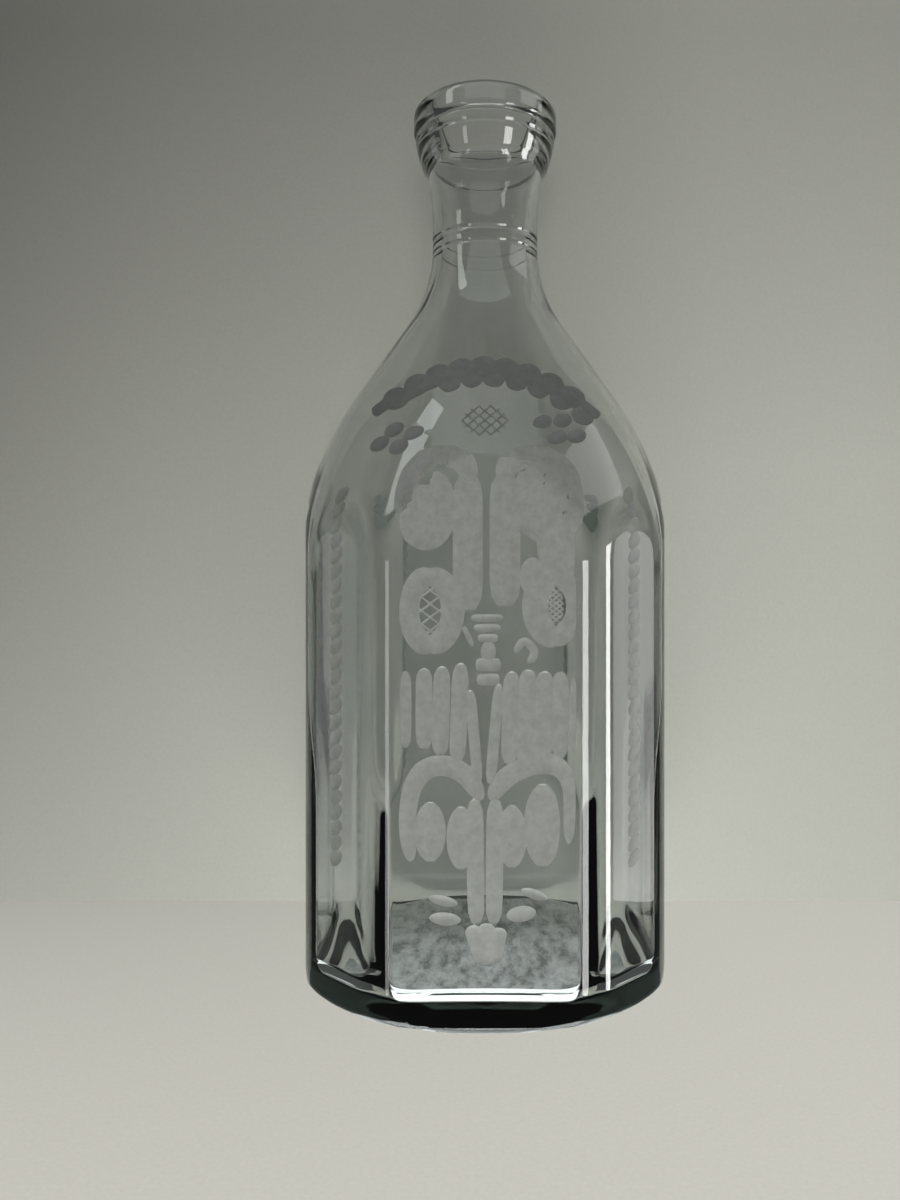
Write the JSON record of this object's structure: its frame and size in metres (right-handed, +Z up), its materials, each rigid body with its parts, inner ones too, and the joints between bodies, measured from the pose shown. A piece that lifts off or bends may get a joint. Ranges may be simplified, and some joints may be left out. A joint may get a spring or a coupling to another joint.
{
  "type": "panelled glass flask",
  "caption": "Clear blown glass flask with cut panels, sloping shoulder, ringed neck and a two-part applied lip",
  "frame": {"origin": "centre of the foot, on the plane that the flask stands on", "axes": "+Z up through the mouth, -Y out of the engraved front panel, +X to the right of that panel"},
  "size_m": [0.0864, 0.0864, 0.2199],
  "materials": {
    "glass": "clear, polished panels with matte wheel-cut ornament"
  },
  "bodies": {
    "root": {"flask_body": "glass", "string_ring": "glass", "lip_ring": "glass"}
  },
  "joints": []
}
